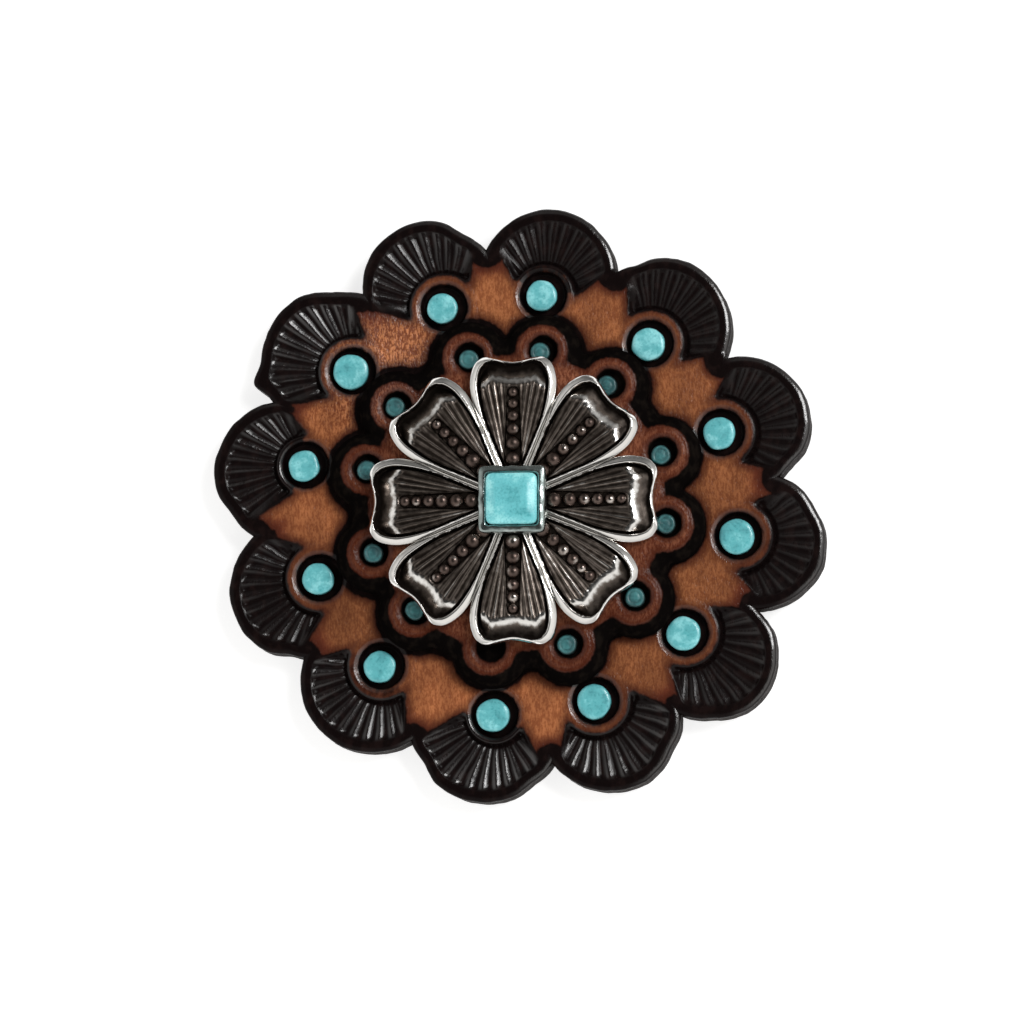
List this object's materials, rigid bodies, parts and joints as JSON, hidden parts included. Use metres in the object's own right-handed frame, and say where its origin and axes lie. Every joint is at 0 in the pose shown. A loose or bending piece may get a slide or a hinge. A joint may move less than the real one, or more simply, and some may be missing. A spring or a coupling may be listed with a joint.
{
  "type": "concho",
  "caption": "Round decorative concho: stacked scalloped leather rosettes with inset turquoise spots, a cast beaded metal flower and a square stone, held by a screw from behind.",
  "frame": {"origin": "on the axis of the screw post, at the flat back plane", "axes": "+Z out of the face, +Y towards the top of the pattern, +X to the viewer's right"},
  "size_m": [0.0642, 0.0622, 0.0109],
  "materials": {
    "tooled_leather": "tooled, antiqued brown with near-black dyed scallops, waxed",
    "antiqued_silver": "cast white metal, polished rims and blackened recesses",
    "turquoise_stone": "polished",
    "turquoise_spot": "satin",
    "post_steel": "turned, nickel plated"
  },
  "bodies": {
    "root": {"base_rosette": "tooled_leather", "centre_stone": "turquoise_stone", "flower": "antiqued_silver", "inner_rosette": "tooled_leather", "inner_spot_01": "turquoise_spot", "inner_spot_02": "turquoise_spot", "inner_spot_03": "turquoise_spot", "inner_spot_04": "turquoise_spot", "inner_spot_05": "turquoise_spot", "inner_spot_06": "turquoise_spot", "inner_spot_07": "turquoise_spot", "inner_spot_08": "turquoise_spot", "inner_spot_09": "turquoise_spot", "inner_spot_10": "turquoise_spot", "inner_spot_11": "turquoise_spot", "outer_spot_01": "turquoise_spot", "outer_spot_02": "turquoise_spot", "outer_spot_03": "turquoise_spot", "outer_spot_04": "turquoise_spot", "outer_spot_05": "turquoise_spot", "outer_spot_06": "turquoise_spot", "outer_spot_07": "turquoise_spot", "outer_spot_08": "turquoise_spot", "outer_spot_09": "turquoise_spot", "outer_spot_10": "turquoise_spot", "outer_spot_11": "turquoise_spot", "outer_spot_12": "turquoise_spot", "screw_post": "post_steel"}
  },
  "joints": []
}
